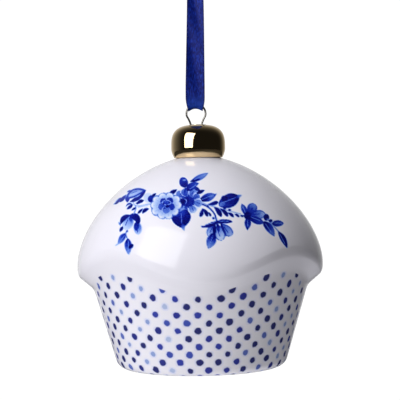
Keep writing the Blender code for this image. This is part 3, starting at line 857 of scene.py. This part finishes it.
def paint_veins(leaf, dab, stem):
    """Light lines left in the dark strokes, and fine dark ones drawn over the light petals."""
    light = [
        [(0.9, 47.6), (2.6, 48.2), (4.2, 48.7)], [(6.6, 46.5), (8.6, 47.2), (10.4, 47.9)],
        [(-1.2, 53.3), (1.6, 54.6)], [(-20.5, 36.2), (-20.5, 33.4)], [(-21.6, 37.6), (-23.0, 35.6)],
        [(3.7, 37.0), (2.8, 34.6)], [(18.9, 40.3), (20.5, 37.8)], [(21.4, 40.4), (23.4, 40.4)],
        [(23.0, 37.2), (24.4, 34.4)], [(14.9, 42.2), (17.4, 41.2)], [(13.2, 43.6), (12.5, 45.2)],
        [(-5.2, 43.6), (-5.1, 41.0)], [(-2.6, 50.6), (-0.8, 51.7)], [(13.8, 41.4), (13.8, 39.7)],
        [(1.9, 40.3), (4.3, 40.9)], [(5.6, 41.2), (8.4, 41.2)],
    ]
    dark = [
        [(5.3, 38.6), (5.7, 37.0)], [(7.0, 39.6), (8.1, 38.0)], [(3.6, 39.5), (3.0, 38.0)],
        [(14.6, 43.8), (15.3, 44.9)], [(15.4, 43.0), (17.3, 43.1)], [(-20.6, 42.0), (-21.2, 40.6)],
        [(-17.8, 39.6), (-17.8, 38.5)], [(-5.3, 49.4), (-5.0, 48.8)], [(-4.2, 50.0), (-4.0, 49.2)],
        [(-1.6, 49.9), (-2.0, 49.2)], [(-0.3, 48.4), (-1.0, 48.2)], [(0.2, 46.4), (-0.6, 46.6)],
        [(-1.7, 44.4), (-2.0, 45.1)], [(-4.4, 44.0), (-4.1, 44.9)],
    ]
    for routes, width, tone in ((light, 0.2, 0.40), (dark, 0.18, 0.80)):
        for route in routes:
            stem(route, width, tone)


def paint_spray(points):
    """The flower spray, drawn flat in the plane of the axis and thrown forward onto the dome."""
    x, y, height = points.T
    throw = EYE_AWAY / (EYE_AWAY + y)
    across = EYE_ASIDE + (x - EYE_ASIDE) * throw
    up = EYE_LEVEL + (height - EYE_LEVEL) * throw
    brush = Brush(across, up)
    for part in (
        paint_lower_left, paint_left_branch, paint_right_branch, paint_hanging_flower,
        paint_fan_flower, paint_dark_flower, paint_pale_flower, paint_veins,
    ):
        part(brush.leaf, brush.dab, brush.stem)
    on_glaze = (y < -5.0) & (height > 28.0) & (np.hypot(x, y) > outer_dome(height) - 1.0)
    return np.where(on_glaze, brush.tone, 0.0)


# Rows of dots round the cup: each dot's darkness in ninths, by row and column, repeating both ways
DOT_COLUMNS = 31
DOT_ROWS = ["79489197", "97992869", "94982559", "69929676"]
DOT_PITCH, DOT_FIRST, DOT_RADIUS = 2.17, 1.8, 0.94
EVEN_ROW_TURN, ODD_ROW_TURN = math.radians(4.2), math.radians(-5.8)
DOT_CEILING, CEILING_WAVE = 25.1, 2.9
WALL_SLANT = 1.04  # length along the flared wall for each unit of height


def dot_pigment(nodes):
    """How strongly the cup's dots colour a point, how dark each one is, and the faint bleed round it."""
    math_node, times, plus, minus, linear = nodes.math, nodes.times, nodes.plus, nodes.minus, nodes.linear

    def hypotenuse(a, b):
        return math_node("SQRT", plus(math_node("POWER", a, 2.0), math_node("POWER", b, 2.0)))

    x, y, height = nodes.split(nodes.place())
    azimuth = math_node("ARCTAN2", x, times(y, -1.0))
    # the upper rows dip with the icing's lobes
    valley = minus(1.0, math_node("COSINE", times(azimuth, float(LOBES))))
    lifted = math_node("POWER", math_node("DIVIDE", height, 21.0), 2.0)
    level = minus(height, times(times(lifted, 0.36), valley))
    row_at = math_node("DIVIDE", minus(level, DOT_FIRST), DOT_PITCH)
    row = math_node("ROUND", row_at)
    odd = math_node("FLOORED_MODULO", row, 2.0)
    phase = linear(odd, ODD_ROW_TURN, EVEN_ROW_TURN)
    pitch = 2 * math.pi / DOT_COLUMNS
    column_at = math_node("DIVIDE", minus(azimuth, phase), pitch)
    column = math_node("ROUND", column_at)
    column_id = math_node("FLOORED_MODULO", plus(column, 15.0), float(DOT_COLUMNS))
    # each dot is a little off its place, a little larger or smaller, and uneven at its edge
    random = nodes.add("ShaderNodeTexWhiteNoise", noise_dimensions="3D")
    nodes.link(nodes.join(row, column_id), random.inputs["Vector"])
    chance = nodes.split(random.outputs["Color"])
    radius = linear(level, CUP_FLARE, CUP_RADIUS)
    sideways = times(minus(column_at, column), times(radius, pitch))
    sideways = plus(sideways, linear(chance[0], 0.3, -0.15))
    upright = times(minus(row_at, row), DOT_PITCH * WALL_SLANT)
    upright = plus(upright, linear(chance[1], 0.24, -0.12))
    wobble = nodes.noise(nodes.place(), 0.9, 1.0)
    away = plus(hypotenuse(sideways, upright), linear(wobble, 0.5, -0.25))
    rows, columns = len(DOT_ROWS), len(DOT_ROWS[0])
    cell = linear(
        math_node("FLOORED_MODULO", row, float(rows)), float(columns),
        math_node("FLOORED_MODULO", column_id, float(columns)),
    )
    tones = [int(digit) / 9 for digits in DOT_ROWS for digit in digits]
    stops = [(k / len(tones), (tone, tone, tone)) for k, tone in enumerate(tones)]
    tone = nodes.ramp(math_node("DIVIDE", plus(cell, 0.5), float(len(tones))), stops, "CONSTANT")
    size = linear(chance[2], 0.2, DOT_RADIUS - 0.12)
    size = minus(size, nodes.spread(tone, 0.2, 0.6, 0.24, 0.0))
    inside = minus(size, away)
    cover = nodes.spread(inside, -0.13, 0.17)
    bleed = nodes.spread(inside, -0.75, 0.0)
    # none on the icing, where neither the point nor the middle of its dot may reach
    turn = linear(column, pitch, phase)
    middle = minus(height, times(minus(row_at, row), DOT_PITCH))
    allowed = 1.0
    for where, at, soft in ((azimuth, height, 0.12), (turn, middle, 0.02)):
        wave = math_node("COSINE", times(plus(where, math.radians(2.0)), float(LOBES)))
        below = minus(linear(wave, -CEILING_WAVE, DOT_CEILING), at)
        allowed = times(allowed, nodes.spread(below, -soft, soft))
    # nor on the inner wall
    wall = minus(hypotenuse(x, y), linear(height, CUP_FLARE, CUP_RADIUS))
    allowed = times(allowed, nodes.spread(wall, -1.6, -1.2))
    return times(cover, allowed), tone, times(bleed, allowed)


def porcelain_material():
    look, nodes = new_material("glazed_porcelain")
    place = nodes.place()
    pigment = nodes.attribute("pigment")
    grain = nodes.noise(place, 2.6, 3.0)
    pooled = nodes.math("MULTIPLY", pigment, nodes.linear(grain, 0.5, 0.75), clamp=True)
    glaze = [(0.3, (0.845, 0.83, 0.915)), (0.7, (0.87, 0.855, 0.94))]
    white = nodes.ramp(nodes.noise(place, 0.05, 2.0), glaze)
    cobalt = nodes.ramp(
        pooled,
        [
            (0.0, (0.80, 0.84, 0.93)), (0.22, (0.42, 0.56, 0.90)), (0.45, (0.10, 0.21, 0.72)),
            (0.68, (0.010, 0.035, 0.48)), (0.88, (0.003, 0.006, 0.24)), (1.0, (0.002, 0.002, 0.10)),
        ],
    )
    colour = nodes.mix(nodes.spread(pigment, 0.0, 0.14), white, cobalt)
    cover, tone, bleed = dot_pigment(nodes)
    ink = nodes.ramp(
        tone,
        [
            (0.0, (0.66, 0.74, 0.90)), (0.2, (0.30, 0.40, 0.72)), (0.5, (0.045, 0.085, 0.46)),
            (0.7, (0.009, 0.017, 0.33)), (1.0, (0.001, 0.001, 0.115)),
        ],
    )
    ink = nodes.mix(nodes.times(grain, 0.35), ink, nodes.mix(0.5, ink, (0.05, 0.09, 0.45, 1.0)))
    colour = nodes.mix(nodes.times(bleed, 0.25), colour, (0.30, 0.42, 0.95, 1.0))
    colour = nodes.mix(nodes.times(cover, 0.97), colour, ink)
    rough = nodes.spread(nodes.noise(place, 0.25, 2.0), 0.3, 0.7, 0.07, 0.11)
    unglazed_foot = nodes.spread(nodes.split(place)[2], 0.02, 0.12, 0.5, 0.0)
    ripple = nodes.plus(nodes.noise(place, 0.09, 1.0), nodes.times(nodes.noise(place, 0.6, 1.0), 0.04))
    nodes.surface(
        base_color=colour, roughness=nodes.plus(rough, unglazed_foot), specular_ior_level=0.5,
        normal=nodes.bump(ripple, 0.10, 0.0012),
    )
    return look


# Gold cap, wire and inner fittings


def metal(name, dark, light, roughness, grain_scale, scratch):
    look, nodes = new_material(name)
    place = nodes.place()
    cloud = nodes.noise(place, grain_scale, 4.0)
    nodes.surface(
        base_color=nodes.ramp(cloud, [(0.3, dark), (0.7, light)]), metallic=1.0,
        roughness=nodes.spread(cloud, 0.3, 0.7, roughness * 0.75, roughness * 1.35),
        normal=nodes.bump(nodes.noise(place, grain_scale * 6, 2.0), scratch, 0.0002),
    )
    return look


def cap_outline():
    """Rounded over the top, and drawn in below a soft bend towards the foot."""
    upper = CAP_TOP - CAP_MIDDLE

    def radius(height, inset):
        if height < CAP_MIDDLE:
            below = math.log1p(math.exp((CAP_BEND - height) / CAP_BEND_SOFTNESS)) * CAP_BEND_SOFTNESS
            return CAP_RADIUS - inset - (CAP_TAPER + CAP_TUCK * below) * below
        share = min((height - CAP_MIDDLE) / (upper - inset), 1.0)
        return (CAP_RADIUS - inset) * (1.0 - share**CAP_POWER) ** (1.0 / CAP_POWER)

    def side(inset, steps=26):
        top = upper - inset
        sweep = np.sin(math.pi / 2 * np.arange(steps) / steps) ** (2 / CAP_POWER)
        rising = (CAP_MIDDLE + top * sweep).tolist()
        falling = np.linspace(CAP_FOOT, CAP_MIDDLE, 22)[:-1].tolist()
        return [(radius(z, inset), z) for z in falling + rising] + [(CAP_HOLE, CAP_MIDDLE + top)]

    return list(reversed(side(0.0))) + side(CAP_SHEET)


def hanger_route():
    """Round the eye inside, up one leg, round the loop outside and down the other leg."""
    gap = math.degrees(math.asin(LEG_OFFSET / EYE_RADIUS)) + 18
    eye = circle(EYE_CENTRE, EYE_RADIUS, 90 + gap, 450 - gap, 18)
    leg = [
        (LEG_OFFSET, 0.0, 51.1), (LEG_OFFSET, 0.0, 53.0), (LEG_OFFSET, 0.0, 60.0),
        (LEG_OFFSET, 0.0, 65.6), (0.60, 0.0, 66.5), (1.15, 0.0, 67.5),
        (1.48, 0.0, 68.5), (1.70, 0.0, 69.5), (2.16, 0.0, 70.6),
    ]
    loop = circle(LOOP_CENTRE, LOOP_RADIUS, -14, 194, 14)
    route = eye + leg + loop + [(-x, y, z) for x, y, z in reversed(leg)]
    return [(x - LOOP_LEAN * rising(z, NECK_TOP, 3.5), y, z) for x, y, z in route]


def build_crown():
    gold = metal("bright_gold", (0.84, 0.62, 0.32), (0.92, 0.71, 0.42), 0.04, 0.12, 0.01)
    cap = turned("gilded_cap", cap_outline(), gold, "bell", 128)
    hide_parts("gold_cap")
    steel = metal("bright_steel", (0.34, 0.32, 0.29), (0.52, 0.50, 0.46), 0.22, 1.5, 0.05)
    route = smooth_route(hanger_route(), 5, closed=True)
    wire = tube("steel_hanger", route, WIRE_RADIUS, steel, "hanger")
    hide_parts("hanger_wire")
    return steel


def felt_material():
    look, nodes = new_material("wool_felt")
    fibres = nodes.noise(nodes.place(), 6.0, 6.0, 1.5)
    nodes.surface(
        base_color=nodes.ramp(fibres, [(0.3, (0.30, 0.29, 0.28)), (0.7, (0.56, 0.55, 0.53))]),
        roughness=0.95, sheen_weight=0.4, normal=nodes.bump(fibres, 0.6, 0.0003),
    )
    return look


def nylon_material():
    look, nodes = new_material("natural_nylon")
    cloud = nodes.noise(nodes.place(), 1.2, 3.0)
    nodes.surface(
        base_color=nodes.ramp(cloud, [(0.3, (0.70, 0.67, 0.60)), (0.7, (0.80, 0.78, 0.72))]),
        roughness=nodes.spread(cloud, 0.3, 0.7, 0.35, 0.5),
    )
    return look


def beech_material():
    look, nodes = new_material("turned_beech")
    x, y, z = nodes.split(nodes.place())
    stretched = nodes.join(x, y, nodes.times(z, 0.12))
    grain = nodes.noise(stretched, 1.1, 6.0, 0.8)
    flecks = nodes.noise(stretched, 7.0, 2.0)
    wood = [(0.3, (0.36, 0.19, 0.085)), (0.5, (0.50, 0.29, 0.14)), (0.7, (0.60, 0.38, 0.20))]
    fleck_share = nodes.spread(flecks, 0.62, 0.72, 0.0, 0.5)
    nodes.surface(
        base_color=nodes.mix(fleck_share, nodes.ramp(grain, wood), (0.25, 0.12, 0.05, 1.0)),
        roughness=nodes.spread(grain, 0.3, 0.7, 0.5, 0.34), normal=nodes.bump(grain, 0.25, 0.0002),
    )
    return look


def dress_small_parts(steel):
    """The plain turned pieces keep their solid shapes and get finished materials."""
    brass = metal("plain_brass", (0.50, 0.34, 0.13), (0.66, 0.48, 0.22), 0.28, 1.4, 0.06)
    felt, nylon, beech = felt_material(), nylon_material(), beech_material()
    looks = {
        "crimp_sleeve": brass, "brass_washer": brass, "upper_crimp": brass, "lower_crimp": brass,
        "felt_washer": felt, "cap_pad": felt, "crown_bush": nylon,
        "clapper_rod": steel, "clapper_bead": beech,
    }
    for name, look in looks.items():
        piece = bpy.data.objects[name]
        for slot in piece.material_slots:
            slot.material = look


# Studio
FLOOR_LEVEL = -0.62  # this and the lights' distances and sizes are in metres
KEY_LIGHT = (-41, 27, 0.6, (0.42, 0.56), 2.3)  # azimuth, elevation, distance, size, power
FILL_LIGHTS = {
    "front_fill": (-30, 20, 0.6, 0.7, 1.70), "overhead_fill": (0, 84, 0.6, 0.7, 1.55),
    "left_fill": (-125, 8, 0.6, 0.7, 0.60), "table_bounce_back": (180, -65, 0.38, 0.36, 0.62),
    "table_bounce_left": (-75, -45, 0.38, 0.36, 0.38), "table_bounce_right": (50, -78, 0.36, 0.30, 0.58),
}
STUDIO_GLOWS = [  # direction, sharpness, strength
    ((0.0, 1.0, 0.0), 4, 0.62), ((-1.0, 1.0, 0.0), 4, 0.16), ((0.0, 1.0, 1.0), 4, 0.10),
]


def build_floor():
    look, nodes = new_material("pale_floor")
    where = nodes.add("ShaderNodeTexCoord").outputs["Object"]
    pale = nodes.ramp(nodes.noise(where, 1.5, 3.0), [(0.3, (0.93, 0.93, 0.935)), (0.7, (0.95, 0.95, 0.95))])
    seen = nodes.add("ShaderNodeLightPath").outputs["Is Camera Ray"]
    nodes.surface(
        base_color=nodes.mix(seen, (0.30, 0.30, 0.31, 1.0), pale), roughness=0.7,
        emission_color=(1.0, 1.0, 1.0, 1.0), emission_strength=nodes.times(seen, 0.70),
    )
    rings, spokes, radius = 6, 64, 2.6
    points = []
    for i in range(1, rings + 1):
        for k in range(spokes):
            angle = 2 * math.pi * k / spokes
            points.append((radius * i / rings * math.cos(angle), radius * i / rings * math.sin(angle), 0.0))
    mesh = bpy.data.meshes.new("floor")
    mesh.from_pydata(points, [], grid_faces(rings, spokes, False, True) + [tuple(range(spokes))])
    mesh.materials.append(look)
    floor = bpy.data.objects.new("floor", mesh)
    floor.location = (0.0, 0.0, FLOOR_LEVEL)
    bpy.context.scene.collection.objects.link(floor)


def soft_light(name, azimuth, elevation, distance, size, power):
    """A rectangular soft light, turned to face the bell. Azimuth is in degrees from the front."""
    azimuth, elevation = math.radians(azimuth), math.radians(elevation)
    aside, away = math.sin(azimuth) * math.cos(elevation), -math.cos(azimuth) * math.cos(elevation)
    aim = Vector((0.0, 0.0, -0.08))
    place = aim + distance * Vector((aside, away, math.sin(elevation)))
    lamp = bpy.data.lights.new(name, "AREA")
    lamp.shape = "RECTANGLE"
    lamp.size, lamp.size_y = size
    lamp.energy = power
    made = bpy.data.objects.new(name, lamp)
    made.location = place
    made.rotation_euler = (aim - place).to_track_quat("-Z", "Y").to_euler()
    bpy.context.scene.collection.objects.link(made)
    return made


def build_world():
    """White sweep and ceiling behind and above, a little light from the left, and a dark studio in front."""
    world = bpy.data.worlds.new("studio")
    world.use_nodes = True
    bpy.context.scene.world = world
    nodes = Nodes(world)
    background = world.node_tree.nodes["Background"]
    direction = nodes.add("ShaderNodeTexCoord").outputs["Generated"]
    light = 0.01
    for towards_it, sharpness, strength in STUDIO_GLOWS:
        facing = nodes.add("ShaderNodeVectorMath", operation="DOT_PRODUCT")
        nodes.link(direction, facing.inputs[0])
        facing.inputs[1].default_value = Vector(towards_it).normalized()
        glow = nodes.math("POWER", nodes.math("MAXIMUM", facing.outputs["Value"], 0.0), sharpness)
        light = nodes.linear(glow, strength, light)
    grey = nodes.add("ShaderNodeCombineColor")
    for socket in grey.inputs:
        nodes.link(light, socket)
    nodes.link(grey.outputs[0], background.inputs["Color"])
    background.inputs["Strength"].default_value = 1.0
    bright = nodes.add("ShaderNodeBackground")
    bright.inputs["Color"].default_value = (1.0, 1.0, 1.0, 1.0)
    bright.inputs["Strength"].default_value = 1.05
    choice = nodes.add("ShaderNodeMixShader")
    nodes.link(nodes.add("ShaderNodeLightPath").outputs["Is Camera Ray"], choice.inputs[0])
    nodes.link(background.outputs[0], choice.inputs[1])
    nodes.link(bright.outputs[0], choice.inputs[2])
    nodes.link(choice.outputs[0], world.node_tree.nodes["World Output"].inputs["Surface"])


def build_studio():
    scene = bpy.context.scene
    scene.view_settings.view_transform = "Standard"
    build_floor()
    build_world()
    soft_light("key", *KEY_LIGHT)
    for name, (azimuth, elevation, distance, side, power) in FILL_LIGHTS.items():
        fill = soft_light(name, azimuth, elevation, distance, (side, side), power)
        fill.visible_glossy = fill.visible_camera = False


build_camera()
ribbon, ribbon_line, satin_look = build_ribbon()
knot = build_knot(satin_look)
route = [(x * MM, y * MM, (z - HANG) * MM) for x, y, z in ribbon_line]
length = sum(math.dist(a, b) for a, b in zip(route, route[1:]))
build_shell()
dress_small_parts(build_crown())
build_studio()
